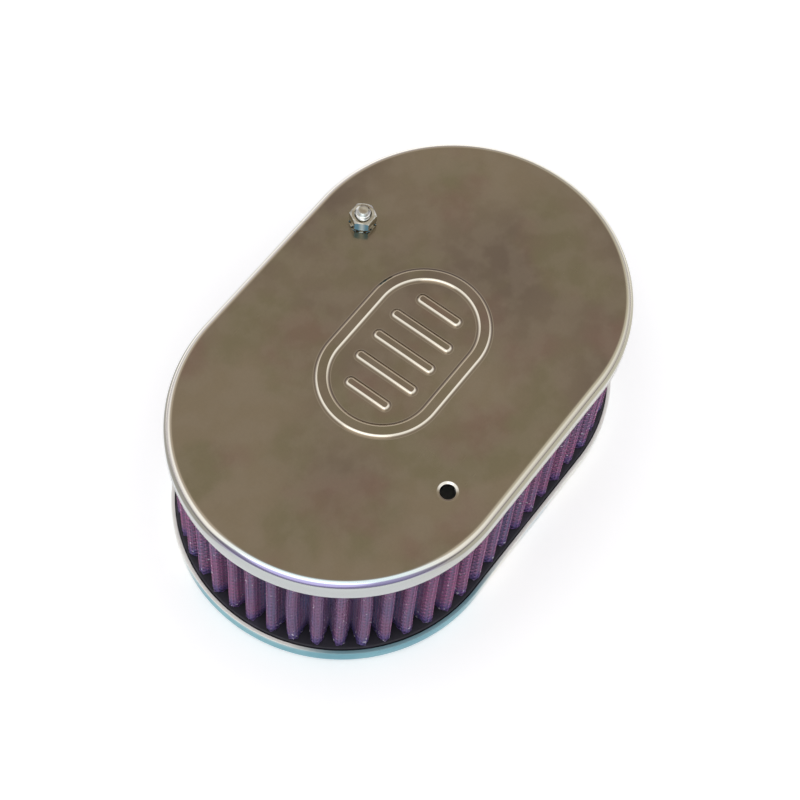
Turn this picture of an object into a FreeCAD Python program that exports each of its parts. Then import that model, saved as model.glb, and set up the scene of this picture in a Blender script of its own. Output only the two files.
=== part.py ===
import FreeCAD, Part
import math
import os

# Oval air cleaner for a downdraft carburettor, in millimetres.
# X runs along the oval, Z is up. The origin is the centre of the base plate's underside.
# A lid and a base plate, both drawn from sheet, hold a pleated filter element between them.
# A stud screwed into the base plate passes up inside the element and out of the lid.
# A hex nut with a captive toothed washer clamps the lid. The second stud's hole is open.

V = FreeCAD.Vector
UP = V(0, 0, 1)

# Case
case_length = 176.0
case_width = 114.3
case_height = 64.0
lid_sheet = 0.9
base_sheet = 1.2
rim_depth = 7.4
rim_bend = 2.5

# A cutter reaches this far past what it cuts, and two heights closer than this are the same
cut_past = 1.0
same_height = 1e-6

# Filter element. Its pleats stand between two rubber rings and end on them
seal_clearance = 0.3
seal_stand_out = 0.8
seal_outer_overlap = 0.8
seal_inner_overlap = 0.6
pleat_depth = 9.9
pleat_pitch = 8.0
fewest_side_pleats = 2
fewest_end_pleats = 6
media_thickness = 2.2

# Studs, nuts and their holes
stud_diameter = 5.0
stud_wall_gap = 0.5
stud_stand_out = 7.3
stud_foot_gap = 0.3
stud_chamfer = 0.9
stud_hole_diameter = 5.2
dimple_width = 0.8
dimple_depth = 0.7
clinch_body_diameter = 7.6
clinch_body_height = 3.8
clinch_shank_diameter = 6.4
clinch_thread_clearance = 0.02

# Lock nut with its captive washer
nut_across_flats = 8.0
nut_height = 4.2
nut_chamfer = 0.5
nut_thread_clearance = 0.05
washer_diameter = 9.4
washer_thickness = 0.6
washer_bore_clearance = 0.3
washer_teeth = 12
tooth_slot_width = 0.8
tooth_slot_depth = 0.9

# Opening for the carburettor, and the four screws round it
throat_length = 92.0
throat_width = 46.0
throat_lip_slope = 1.6
throat_lip_height = 4.0
screw_spacing_x = 92.0
screw_spacing_y = 52.0
screw_hole_diameter = 5.5

# Stiffening pattern pressed up in the middle of the lid: a ring with ribs across it
bead_height = 0.8
bead_flank = 1.0
ring_length = 68.0
ring_width = 44.0
ring_band = 6.0
rib_band = 5.0
rib_count = 5
rib_spacing = 9.6
rib_gap = 3.6

# Worked out from the above. A bevel of octagon times a radius just touches an arc of that radius.
straight = case_length - case_width
case_radius = case_width / 2
lid_top = case_height
lid_under = case_height - lid_sheet
octagon = 2 - math.sqrt(2)
lid_bevel = octagon * (rim_bend - lid_sheet)
base_bevel = rim_bend - octagon * base_sheet
seal_bevel = max(lid_bevel, base_bevel)
seal_radius = case_radius - max(lid_sheet, base_sheet) - seal_clearance
crown_radius = seal_radius - seal_outer_overlap
valley_radius = crown_radius - pleat_depth
seal_bore_radius = valley_radius - seal_inner_overlap
seal_height = rim_depth + seal_stand_out - base_sheet
stud_radius = stud_diameter / 2
stud_x = straight / 2
stud_y = seal_bore_radius - stud_wall_gap - clinch_body_diameter / 2
stud_place = V(stud_x, stud_y, 0)
open_place = V(-stud_x, -stud_y, 0)
hole_radius = stud_hole_diameter / 2


def polygon_face(points):
    """A flat face with straight sides through the points."""
    return Part.Face(Part.makePolygon(points + [points[0]]))


def racetrack(length, width, z, height):
    """An upright solid whose outline is two half circles joined by straight sides."""
    radius = width / 2
    half = (length - width) / 2
    right = Part.Arc(V(half, -radius, z), V(half + radius, 0, z), V(half, radius, z))
    left = Part.Arc(V(-half, radius, z), V(-half - radius, 0, z), V(-half, -radius, z))
    far = Part.LineSegment(right.EndPoint, left.StartPoint)
    near = Part.LineSegment(left.EndPoint, right.StartPoint)
    outline = Part.Wire([piece.toShape() for piece in (right, far, left, near)])
    return Part.Face(outline).extrude(V(0, 0, height))


def carry_round(section, straight_run):
    """Carries a section round a racetrack.

    The section lies in the XZ plane, and its x is the distance from the centre of the round ends.
    """
    half = straight_run / 2
    solids = []
    for turn in (0, 180):
        end = section.copy()
        end.rotate(V(0, 0, 0), UP, -90)
        end = end.revolve(V(0, 0, 0), UP, 180)
        end.translate(V(half, 0, 0))
        end.rotate(V(0, 0, 0), UP, turn)
        solids.append(end)
        side = section.copy()
        side.rotate(V(0, 0, 0), UP, 90)
        side.translate(V(-half, 0, 0))
        side = side.extrude(V(straight_run, 0, 0))
        side.rotate(V(0, 0, 0), UP, turn)
        solids.append(side)
    return solids[0].multiFuse(solids[1:]).removeSplitter()


def tray(sheet, bend_outside, inside_bevel):
    """A drawn tray: flat floor, bend all round, upturned rim. Its floor's outside is at z 0."""
    outer = racetrack(case_length, case_width, 0, rim_depth)
    inner = racetrack(case_length - 2 * sheet, case_width - 2 * sheet, sheet, rim_depth)
    inner = inner.makeChamfer(inside_bevel, edges_at(inner, sheet))
    return bend_outside(outer, rim_bend, edges_at(outer, 0)).cut(inner)


def edges_at(solid, z):
    """The edges of a solid that lie flat at one height."""
    box = [(edge, edge.BoundBox) for edge in solid.Edges]
    return [edge for edge, b in box if max(abs(b.ZMin - z), abs(b.ZMax - z)) < same_height]


def turned_edge(radius, sheet, slope_width, slope_height, collar):
    """The section of a hole's formed edge: a slope, then a short collar, bent down from a face at z 0.

    Its x is the distance from the hole's axis.
    """
    outside = radius + slope_width
    steep = sheet * slope_height / slope_width
    return polygon_face(
        [
            V(outside, 0, 0),
            V(radius, 0, -slope_height),
            V(radius, 0, -collar),
            V(radius + sheet, 0, -collar),
            V(radius + sheet, 0, -slope_height - sheet + steep),
            V(outside, 0, -sheet),
        ]
    )


def ring_bead(z, band):
    """The bead that runs round as a racetrack: flat on top with sloping flanks, on a face at z."""
    x = (ring_width - ring_band) / 2
    foot = band / 2
    top = foot - bead_flank
    high = z + bead_height
    section = [V(x - foot, 0, z), V(x + foot, 0, z), V(x + top, 0, high), V(x - top, 0, high)]
    return carry_round(polygon_face(section), ring_length - ring_width)


def rectangle(x, half_x, half_y, z):
    """A flat rectangular wire across the lid's middle line, centred at x."""
    corners = [V(x + sx * half_x, sy * half_y, z) for sx, sy in ((-1, -1), (1, -1), (1, 1), (-1, 1))]
    return Part.makePolygon(corners + [corners[0]])


def rib_bead(z, band, x):
    """A straight rib across the lid at x. It ends a fixed gap inside the ring."""
    past_straight = max(0, abs(x) + rib_band / 2 - (ring_length - ring_width) / 2)
    reach = math.sqrt((ring_width / 2 - ring_band) ** 2 - past_straight**2) - rib_gap
    reach = reach - (rib_band - band) / 2
    foot = rectangle(x, band / 2, reach, z)
    top = rectangle(x, band / 2 - bead_flank, reach - bead_flank, z + bead_height)
    return Part.makeLoft([foot, top], True, True)


def make_lid():
    lid = tray(lid_sheet, Part.Shape.makeFillet, lid_bevel)
    lid.rotate(V(0, 0, 0), V(1, 0, 0), 180)
    section = turned_edge(hole_radius, lid_sheet, dimple_width, dimple_depth, dimple_depth + lid_sheet)
    for place in (stud_place, open_place):
        low = place - UP * (lid_sheet + cut_past)
        lid = lid.cut(Part.makeCylinder(hole_radius + dimple_width, lid_sheet + 2 * cut_past, low))
        edge = section.revolve(V(0, 0, 0), UP, 360)
        edge.translate(place)
        lid = lid.fuse(edge)
    # The sheet rises in each bead and leaves a narrower groove on its underside
    lid = lid.fuse(ring_bead(0, ring_band)).cut(ring_bead(-lid_sheet, ring_band - lid_sheet))
    for i in range(rib_count):
        x = (i - (rib_count - 1) / 2) * rib_spacing
        lid = lid.fuse(rib_bead(0, rib_band, x)).cut(rib_bead(-lid_sheet, rib_band - lid_sheet, x))
    lid.translate(UP * lid_top)
    return lid.removeSplitter()


def make_base_plate():
    base = tray(base_sheet, Part.Shape.makeChamfer, base_bevel)
    margin = 2 * throat_lip_slope
    through = base_sheet + 2 * cut_past
    window = racetrack(throat_length + margin, throat_width + margin, -cut_past, through)
    section = turned_edge(
        throat_width / 2, base_sheet, throat_lip_slope, throat_lip_slope, throat_lip_height
    )
    lip = carry_round(section, throat_length - throat_width)
    lip.rotate(V(0, 0, 0), V(1, 0, 0), 180)
    base = base.cut(window).fuse(lip)
    for sx in (-1, 1):
        for sy in (-1, 1):
            place = V(sx * screw_spacing_x / 2, sy * screw_spacing_y / 2, -cut_past)
            base = base.cut(Part.makeCylinder(screw_hole_diameter / 2, through, place))
    for place in (stud_place, open_place):
        low = place - UP * cut_past
        base = base.cut(Part.makeCylinder(clinch_shank_diameter / 2, through, low))
    return base.removeSplitter()


def make_seal():
    """An end cap: the rubber ring that the pleats are bonded to, bevelled to sit in its tray.

    Its foot is at z 0.
    """
    section = [
        V(seal_bore_radius, 0, 0),
        V(seal_radius - seal_bevel, 0, 0),
        V(seal_radius, 0, seal_bevel),
        V(seal_radius, 0, seal_height),
        V(seal_bore_radius, 0, seal_height),
    ]
    return carry_round(polygon_face(section), straight)


def make_bottom_seal():
    seal = make_seal()
    seal.translate(UP * base_sheet)
    return seal


def make_top_seal():
    seal = make_seal()
    seal.rotate(V(0, 0, 0), V(1, 0, 0), 180)
    seal.translate(UP * lid_under)
    return seal


def pleat_stations():
    """The folds in order round the element, as (is a crown, point on the spine, outward direction).

    A fold's centre is its spine point plus some distance along its outward direction.
    """
    on_side = max(fewest_side_pleats, round(straight / pleat_pitch))
    on_end = max(fewest_end_pleats, round(math.pi * crown_radius / pleat_pitch))
    stations = []
    for flip in (1, -1):
        for i in range(2 * on_side):
            x = straight * (i / (2 * on_side) - 0.5)
            stations.append((i % 2 == 1, V(flip * x, 0, 0), V(0, -flip, 0)))
        for i in range(2 * on_end):
            angle = math.pi * (i / (2 * on_end) - 0.5)
            out = V(flip * math.cos(angle), flip * math.sin(angle), 0)
            stations.append((i % 2 == 1, V(flip * straight / 2, 0, 0), out))
    return stations


def pleated_wire(side, z):
    """One skin of the pleated sheet. Each fold is sharp inside, with its outside set off by the thickness.

    With side 1 it is the outer skin, which is round at the crowns. With side -1 it is the inner skin, which
    is creased to a point at the valleys.
    """
    folds = []
    for is_crown, spine, out in pleat_stations():
        ring = crown_radius - media_thickness if is_crown else valley_radius + media_thickness
        bend = media_thickness if is_crown == (side == 1) else 0
        folds.append((is_crown, spine + out * ring + UP * z, bend, out))
    leaving, arriving = {}, {}
    for i, (is_crown, centre, bend, _) in enumerate(folds):
        k = (i + 1) % len(folds)
        _, next_centre, next_bend, _ = folds[k]
        across = next_centre - centre
        turn = 1 if is_crown else -1
        lean = turn * math.asin((bend + next_bend) / across.Length)
        along = FreeCAD.Rotation(UP, math.degrees(lean)).multVec(across).normalize()
        left = UP.cross(along)
        leaving[i] = centre - left * bend * turn
        arriving[k] = next_centre + left * next_bend * turn
    curves = []
    for i, (is_crown, centre, bend, out) in enumerate(folds):
        if bend and is_crown:
            curves.append(Part.Arc(arriving[i], centre + out * bend, leaving[i]))
        elif bend:
            tip = centre - out * bend
            curves.append(Part.LineSegment(arriving[i], tip))
            curves.append(Part.LineSegment(tip, leaving[i]))
        k = (i + 1) % len(folds)
        curves.append(Part.LineSegment(leaving[i], arriving[k]))
    return Part.Wire([curve.toShape() for curve in curves])


def make_pleated_media():
    low = base_sheet + seal_height
    high = lid_under - seal_height
    outline = Part.Face(pleated_wire(1, low)).cut(Part.Face(pleated_wire(-1, low)))
    return outline.extrude(UP * (high - low))


def make_stud():
    length = lid_top + stud_stand_out - stud_foot_gap
    stud = Part.makeCylinder(stud_radius, length, stud_place + UP * stud_foot_gap)
    return stud.makeChamfer(stud_chamfer, [e for e in stud.Edges if e.Closed])


def make_clinch_nut(place):
    """A nut pressed into the base plate from inside, its shank flush with the underside."""
    body = Part.makeCylinder(clinch_body_diameter / 2, clinch_body_height, place + UP * base_sheet)
    shank = Part.makeCylinder(clinch_shank_diameter / 2, base_sheet, place)
    thread = stud_radius + clinch_thread_clearance
    through = base_sheet + clinch_body_height + 2 * cut_past
    bore = Part.makeCylinder(thread, through, place - UP * cut_past)
    return body.fuse(shank).cut(bore).removeSplitter()


def make_lock_washer():
    low = stud_place + UP * lid_top
    washer = Part.makeCylinder(washer_diameter / 2, washer_thickness, low)
    through = washer_thickness + 2 * cut_past
    bore = Part.makeCylinder(stud_radius + washer_bore_clearance, through, low - UP * cut_past)
    washer = washer.cut(bore)
    reach = washer_diameter / 2 - tooth_slot_depth
    slots = []
    for i in range(washer_teeth):
        slot = Part.makeBox(
            2 * tooth_slot_depth,
            tooth_slot_width,
            through,
            low + V(reach, -tooth_slot_width / 2, -cut_past),
        )
        slot.rotate(low, UP, 360 * i / washer_teeth)
        slots.append(slot)
    return washer.cut(Part.makeCompound(slots))


def make_lock_nut():
    low = stud_place + UP * (lid_top + washer_thickness)
    corner = nut_across_flats / 2 / math.cos(math.radians(30))
    corners = [
        low + V(corner * math.cos(math.radians(60 * i)), corner * math.sin(math.radians(60 * i)), 0)
        for i in range(6)
    ]
    nut = polygon_face(corners).extrude(UP * nut_height)
    # The corners are turned off by a cone at the top, as on a bar-turned nut
    shoulder = low + UP * (nut_height - nut_chamfer)
    cone = Part.makeCone(corner, nut_across_flats / 2, nut_chamfer, shoulder)
    nut = nut.common(Part.makeCylinder(corner, nut_height - nut_chamfer, low).fuse(cone))
    thread = stud_radius + nut_thread_clearance
    bore = Part.makeCylinder(thread, nut_height + 2 * cut_past, low - UP * cut_past)
    sink = Part.makeCone(thread + nut_chamfer, thread, nut_chamfer, low)
    top_sink = Part.makeCone(thread, thread + nut_chamfer, nut_chamfer, shoulder)
    return nut.cut(bore).cut(sink).cut(top_sink)


def main():
    os.makedirs("parts", exist_ok=True)
    parts = {
        "lid": make_lid(),
        "base_plate": make_base_plate(),
        "pleated_media": make_pleated_media(),
        "top_seal": make_top_seal(),
        "bottom_seal": make_bottom_seal(),
        "stud": make_stud(),
        "clinch_nut_stud": make_clinch_nut(stud_place),
        "clinch_nut_open": make_clinch_nut(open_place),
        "lock_washer": make_lock_washer(),
        "lock_nut": make_lock_nut(),
    }
    for name, shape in parts.items():
        shape.exportStep("parts/" + name + ".step")
        box = shape.BoundBox
        print(
            f"{name}: {len(shape.Solids)} solid, valid {shape.isValid()}, {shape.Volume:.0f} mm3, "
            f"z {box.ZMin:.2f} to {box.ZMax:.2f}, {box.XLength:.2f} x {box.YLength:.2f}"
        )


main()
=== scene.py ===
# %% [markdown]
# An oval air cleaner for a carburettor: a bright pressed lid and a zinc plated base plate hold a pleated
# filter element between them. This lesson dresses the fixed CAD frame of it. Every shape is a surface
# worked out with numpy, in millimetres, and each finish is a small set of shader nodes.

import math
from collections import namedtuple

import bmesh
import bpy
import numpy as np
from mathutils import Matrix, Vector
from mathutils.geometry import delaunay_2d_cdt


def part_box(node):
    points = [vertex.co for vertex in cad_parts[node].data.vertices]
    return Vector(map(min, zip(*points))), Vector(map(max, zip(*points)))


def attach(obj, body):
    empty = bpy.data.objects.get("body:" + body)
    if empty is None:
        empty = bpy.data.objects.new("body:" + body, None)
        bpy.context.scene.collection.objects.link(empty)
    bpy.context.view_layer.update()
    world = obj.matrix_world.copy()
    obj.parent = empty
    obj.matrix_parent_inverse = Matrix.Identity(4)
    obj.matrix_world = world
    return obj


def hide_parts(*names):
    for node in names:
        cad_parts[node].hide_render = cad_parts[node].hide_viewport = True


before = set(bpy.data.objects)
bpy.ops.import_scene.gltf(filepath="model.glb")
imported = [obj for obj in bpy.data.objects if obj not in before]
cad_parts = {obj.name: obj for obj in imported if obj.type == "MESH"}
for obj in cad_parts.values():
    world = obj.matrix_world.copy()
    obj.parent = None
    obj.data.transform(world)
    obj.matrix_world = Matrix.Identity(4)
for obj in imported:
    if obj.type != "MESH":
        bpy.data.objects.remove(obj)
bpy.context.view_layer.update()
MM = 0.001
print("CAD nodes:", sorted(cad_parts))

# %% [markdown]
# Sizes come from the frame where it has them, so that each piece lands on its own CAD node. Typing them in
# would be shorter, but the pieces would stay behind when the frame changes. The rest are the sheets, bends
# and gaps that a box can't tell, in millimetres. The ledge is a narrow flat strip beside every bend.


# %% Sizes
def box_mm(node):
    """Lowest and highest corner of a CAD node, in millimetres."""
    low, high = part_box(node)
    return np.array(low) / MM, np.array(high) / MM


lid_sheet, base_sheet = 0.9, 1.2
lid_bend, base_bend = 3.3, 2.5
bead_height = 0.8
ledge = 0.4

lid_low, lid_high = box_mm("lid")
base_low, base_high = box_mm("base_plate")
stud_low, stud_high = box_mm("stud")
case_length, case_width = (base_high - base_low)[:2]
case_radius = case_width / 2
half_straight = (case_length - case_width) / 2
lid_top = lid_high[2] - bead_height
stud_place = (stud_low + stud_high)[:2] / 2
open_place = -stud_place
print(f"case {case_length:.1f} x {case_width:.1f} mm, lid top at {lid_top:.1f} mm")

# %% [markdown]
# Nearly everything here is a section carried round an oval. Both halves of that idea are arrays: the
# stations hold a point of the oval's spine and the outward direction there, and the section holds
# distances from the spine and heights. Their product is a grid, which is all that a mesh needs. A curve
# object with a bevel could do it too, but a grid's rows can be shared by the patch next to it.

# %% Sections carried round an oval
per_quarter = {"oval": 97, "ring": 33, "throat": 25, "washer": 13, "hole": 9, "rib": 7}
closest_points = 1e-6


def stations(half_x, half_y, points_per_quarter):
    """Spine points and outward directions, counter-clockwise round a rounded rectangle.

    A quarter turn about each corner of the spine rectangle (+-half_x, +-half_y). With half_y 0 it is a
    racetrack and with both 0 a circle, and the points that then fall together are left out.
    """
    turn = np.linspace(0, math.pi / 2, points_per_quarter)
    angle = (turn[None] + np.arange(4)[:, None] * math.pi / 2).ravel()
    out = np.column_stack([np.cos(angle), np.sin(angle)])
    corners = np.array([(1, 1), (-1, 1), (-1, -1), (1, -1)]) * (half_x, half_y)
    spine = np.repeat(corners, points_per_quarter, axis=0)
    edge = spine + out
    keep = np.linalg.norm(edge - np.roll(edge, 1, axis=0), axis=1) > closest_points
    return spine[keep], out[keep]


def carry(section, path, centre=(0.0, 0.0)):
    """A section (distance, height) at every station: point = centre + spine + distance times outward."""
    spine, out = path
    section = np.asarray(section, float)
    flat = np.asarray(centre) + spine[None] + section[:, 0, None, None] * out[None]
    height = np.broadcast_to(section[:, 1, None, None], flat.shape[:2] + (1,))
    return np.concatenate([flat, height], axis=2)


def arc(centre, radius, start, stop, count):
    """Points of an arc in a section: centre + radius (cos, sin), from start to stop in degrees."""
    turn = np.radians(np.linspace(start, stop, count))
    return np.asarray(centre) + radius * np.column_stack([np.cos(turn), np.sin(turn)])


oval = stations(half_straight, 0, per_quarter["oval"])
print("stations round the case:", len(oval[0]))

# %% [markdown]
# A mesh is a list of points and a list of faces. from_pydata takes both at once, which is quicker and easier
# to check than building face by face. Borders that two patches share are merged afterwards.


# %% Grids to meshes
def grid_faces(rows, columns, wrap_rows):
    """Quads between neighbours of a closed grid whose points are numbered row by row."""
    i, j = np.meshgrid(np.arange(rows if wrap_rows else rows - 1), np.arange(columns), indexing="ij")
    ni, nj = (i + 1) % rows, (j + 1) % columns
    corners = [i * columns + j, ni * columns + j, ni * columns + nj, i * columns + nj]
    return np.stack([c.ravel() for c in corners], axis=1).tolist()


def patch(grid, wrap_rows=False):
    """A grid of points as (points, faces). Its rows always close, and its columns if asked."""
    rows, columns = grid.shape[:2]
    return grid.reshape(-1, 3), grid_faces(rows, columns, wrap_rows)


def make_piece(name, patches, merge=None):
    """One mesh object from patches of (points in millimetres, faces), with near points merged if asked."""
    points, faces, start = [], [], 0
    for patch_points, patch_faces in patches:
        points.append(patch_points)
        faces.extend([[corner + start for corner in face] for face in patch_faces])
        start += len(patch_points)
    mesh = bpy.data.meshes.new(name)
    mesh.from_pydata((np.vstack(points) * MM).tolist(), [], faces)
    if merge:
        work = bmesh.new()
        work.from_mesh(mesh)
        bmesh.ops.remove_doubles(work, verts=work.verts, dist=merge * MM)
        work.to_mesh(mesh)
        work.free()
    mesh.shade_smooth()
    piece = bpy.data.objects.new(name, mesh)
    bpy.context.scene.collection.objects.link(piece)
    print(f"{name}: {len(mesh.vertices)} points, {len(mesh.polygons)} faces")
    return piece


# %% [markdown]
# Sheet metal has a thickness and slightly rounded cut edges. Solidify and Bevel know how to give a skin both,
# so no function here has to. They are applied at once, because the finished mesh is what the frame measures.

# %% Sheet thickness and rounded edges
cut_edge_angle = 50
cut_edge_segments = 3


def finish_modifiers(piece, sheet=None, edge_round=None, sharp_angle=35):
    """Gives a single skin its sheet thickness, inwards, rounds its cut edges and keeps corners sharp."""
    if sheet:
        wall = piece.modifiers.new("sheet", "SOLIDIFY")
        wall.thickness = sheet * MM
        wall.offset = -1
        wall.use_even_offset = True
    if edge_round:
        round_edges = piece.modifiers.new("round", "BEVEL")
        round_edges.width = edge_round * MM
        round_edges.segments = cut_edge_segments
        round_edges.limit_method = "ANGLE"
        round_edges.angle_limit = math.radians(cut_edge_angle)
    with bpy.context.temp_override(object=piece, active_object=piece, selected_objects=[piece]):
        for modifier in list(piece.modifiers):
            bpy.ops.object.modifier_apply(modifier=modifier.name)
    piece.data.set_sharp_from_angle(angle=math.radians(sharp_angle))


# %% [markdown]
# The lid is one drawn sheet. Its skin is made of patches that share their borders: the rolled rim, the two
# dimpled holes, the pressed panel in the middle and the flat field between them. The field is a constrained
# triangulation, because a flat face can have any outline. A boolean could cut the holes instead, but then
# their dimples would not share its border points. Solidify then gives the skin its thickness.

# %% Flat fields with holes
inside_outline = 1
triangulation_tolerance = 1e-7


def edge_distance(points, half_x, half_y, radius):
    """Signed distance to a rounded rectangle's edge: distance to its spine rectangle less its radius."""
    near = np.clip(points, [-half_x, -half_y], [half_x, half_y])
    return np.linalg.norm(points - near, axis=-1) - radius


def flat_field(outline, holes, height):
    """Triangles at one height between an outline and its holes.

    A hole is a loop of points and the centre, half sizes and radius of the rounded rectangle it follows.
    """
    loops = [outline] + [loop for loop, *_ in holes]
    edges, start = [], 0
    for loop in loops:
        count = len(loop)
        edges += [(start + k, start + (k + 1) % count) for k in range(count)]
        start += count
    corners = [Vector(point) for point in np.vstack(loops)]
    result = delaunay_2d_cdt(corners, edges, [], inside_outline, triangulation_tolerance)
    flat = np.array([tuple(point) for point in result[0]])
    triangles = np.array(result[2])
    middle = flat[triangles].mean(axis=1)
    keep = np.ones(len(triangles), bool)
    for _, centre, half_x, half_y, radius in holes:
        keep &= edge_distance(middle - centre, half_x, half_y, radius) > 0
    return np.column_stack([flat, np.full(len(flat), height)]), triangles[keep]


def loop_of(grid_row):
    """The flat outline of one row of a carried grid."""
    return grid_row[:, :2]


def round_hole(place, radius, dip, collar, slope):
    """A formed hole in a face at height 0, as (grid, hole for flat_field): collar, slope, then the face.

    The slope's two ends are cut off by a quarter of the dip, which makes them soft.
    """
    soft = dip / 4
    section = [(radius, -collar), (radius, -dip - soft), (radius + soft / 2, -dip + soft / 2)]
    section += [(radius + slope - soft, -soft / 2), (radius + slope, 0), (radius + slope + ledge, 0)]
    grid = carry(section, stations(0, 0, per_quarter["hole"]), place)
    return grid, (loop_of(grid[-1]), place, 0, 0, radius + slope + ledge)


# %% [markdown]
# The middle of the lid carries a pressed ring with five ribs in it. Each is a flat-topped plateau whose
# flanks are smooth steps, so one flank section carried round an outline makes it. The ring has a flank on
# either side of its plateau, and a rib closes over with a flat top. A bump map would be quicker, but it has
# no height when it is seen from the side or exported as a mesh.

# %% The pressed ring and ribs
ring_length, ring_width, ring_band = 68.0, 44.0, 6.0
ring_half = (ring_length - ring_width) / 2
rib_band, rib_count, rib_spacing, rib_gap, rib_corner = 5.0, 5, 9.6, 3.6, 2.3
flank_steps, flank_soft, flank_width = 13, 0.3, 1.7


def flank(edge, inwards):
    """A flank's section from a flat ledge outside its edge up to the plateau.

    Straight in the middle and round at both ends: the running sum of a slope that rises, holds and falls.
    """
    t = np.linspace(0, 1, flank_steps)
    slope = np.clip(np.minimum(t, 1 - t) / flank_soft, 0, 1)
    rise = np.concatenate([[0], np.cumsum((slope[1:] + slope[:-1]) / 2)])
    section = np.column_stack([edge + inwards * flank_width * t, bead_height * rise / rise[-1]])
    return np.vstack([[edge - inwards * ledge, 0], section])


def pressed_ring():
    """The ring's grid from its outer edge over the plateau to its inner edge."""
    outer = ring_width / 2
    section = np.vstack([flank(outer - ring_band, 1), flank(outer, -1)[::-1]])
    return carry(section, stations(ring_half, 0, per_quarter["ring"]))


def pressed_rib(k):
    """Rib k: its flank's grid, its flat top and the hole it needs in the field.

    Its reach is the chord of the ring's inner edge at its far side, less the gap.
    """
    at = (k - (rib_count - 1) / 2) * rib_spacing
    past = max(0, abs(at) + rib_band / 2 - ring_half)
    reach = math.sqrt((ring_width / 2 - ring_band) ** 2 - past**2) - rib_gap
    half_x, half_y = rib_band / 2 - rib_corner, reach - rib_corner
    grid = carry(flank(rib_corner, -1)[::-1], stations(half_x, half_y, per_quarter["rib"]), (at, 0))
    top = flat_field(loop_of(grid[0]), [], bead_height)
    return grid, top, (loop_of(grid[-1]), (at, 0), half_x, half_y, rib_corner + ledge)


def pressing():
    """All patches inside the ring's outer edge, at face height 0, and the hole the ring needs."""
    ring = pressed_ring()
    ribs = [pressed_rib(k) for k in range(rib_count)]
    patches = [patch(ring), flat_field(loop_of(ring[0]), [rib[2] for rib in ribs], 0)]
    for grid, top, _ in ribs:
        patches += [patch(grid), top]
    return patches, (loop_of(ring[-1]), (0, 0), ring_half, 0, ring_width / 2 + ledge)


print(f"pressed ring {ring_length:.0f} x {ring_width:.0f} mm with {rib_count} ribs")

# %% [markdown]
# On the real lid a press rolls the edge over into an upright flange and forms a shallow dimple round each
# stud hole. A bevel modifier could round the edge, but a carried arc puts the bend exactly where the case
# ends, and a flat ledge beside every bend keeps its smooth shading from spreading over the flat face.

# %% The lid
hole_radius, dimple_width, dimple_depth = 2.6, 0.8, 0.45
bend_points = 13
lid_edge_round, base_edge_round = 0.25, 0.55
border_merge = 0.01


def tray_rim(depth, radius):
    """The rolled rim of a tray whose face is at height 0: a flat ledge, the bend, then the flange."""
    corner = (case_radius - radius, -radius)
    bend = arc(corner, radius, 90, 0, bend_points)
    return carry(np.vstack([[(corner[0] - ledge, 0)], bend, [(case_radius, -depth)]]), oval)


def make_lid():
    """The lid's skin from its patches, worked out at height 0 and raised to the lid's top."""
    rim = tray_rim(lid_top - lid_low[2], lid_bend)
    holes = [
        round_hole(place, hole_radius, dimple_depth, dimple_depth + lid_sheet, dimple_width)
        for place in (stud_place, open_place)
    ]
    pressed, pressed_hole = pressing()
    field = flat_field(loop_of(rim[0]), [hole for _, hole in holes] + [pressed_hole], 0)
    patches = [patch(rim), field] + pressed + [patch(grid) for grid, _ in holes]
    raised = [(points + [0, 0, lid_top], faces) for points, faces in patches]
    piece = make_piece("pressed_lid", raised, merge=border_merge)
    finish_modifiers(piece, lid_sheet, edge_round=lid_edge_round)
    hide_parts("lid")
    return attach(piece, "housing")


lid = make_lid()

# %% [markdown]
# The base plate is the same kind of pressing, the other way up, with a throat for the carburettor, four screw
# holes and two holes for the clinch nuts. It is worked out face up and then turned half round its long axis,
# which keeps every face pointing outwards. A mirror image would turn them inside out.

# %% The base plate
throat_length, throat_width = 92.0, 46.0
throat_slope, throat_height, throat_bend_points = 1.6, 4.0, 7
screw_x, screw_y, screw_radius = 46.0, 26.0, 2.75
clinch_shank_radius = 3.2
punch_round = 0.2
half_turn = np.array([1, -1, -1])


def plain_hole(place, radius):
    """A punched hole with a slightly turned edge."""
    return round_hole(place, radius, punch_round, base_sheet, punch_round)


def throat_edge():
    """The turned edge of the throat, as (grid, hole for flat_field): a wall, then a quarter arc."""
    half = (throat_length - throat_width) / 2
    radius = throat_width / 2
    bend = arc((radius + throat_slope, -throat_slope), throat_slope, 180, 90, throat_bend_points)
    grid = carry(np.vstack([[(radius, -throat_height)], bend]), stations(half, 0, per_quarter["throat"]))
    return grid, (loop_of(grid[-1]), (0, 0), half, 0, radius + throat_slope)


def make_base():
    """The base plate's skin from its patches, face up, then turned half round the long axis."""
    rim = tray_rim(base_high[2], base_bend)
    holes = [throat_edge()]
    holes += [plain_hole((sx * screw_x, sy * screw_y), screw_radius) for sx in (-1, 1) for sy in (-1, 1)]
    holes += [plain_hole(place * half_turn[:2], clinch_shank_radius) for place in (stud_place, open_place)]
    field = flat_field(loop_of(rim[0]), [hole for _, hole in holes], 0)
    face_up = [patch(rim), field] + [patch(grid) for grid, _ in holes]
    turned_over = [(points * half_turn, faces) for points, faces in face_up]
    piece = make_piece("pressed_base", turned_over, merge=border_merge)
    finish_modifiers(piece, base_sheet, edge_round=base_edge_round)
    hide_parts("base_plate")
    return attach(piece, "housing")


base = make_base()

# %% [markdown]
# The end caps are moulded rubber rings that hold the pleats' ends. A closed section with rounded corners is
# carried round the oval. Its rounds are part of the section, so that no modifier has to find the edges.

# %% The end caps
seal_bevel, seal_edge, seal_overlap = 1.8, 0.5, 0.6
seal_round_points = 5
pleat_depth = 9.9
media_low, media_high = box_mm("pleated_media")
crown_radius = (media_high[1] - media_low[1]) / 2
valley_radius = crown_radius - pleat_depth
seal_bore_radius = valley_radius - seal_overlap


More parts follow.
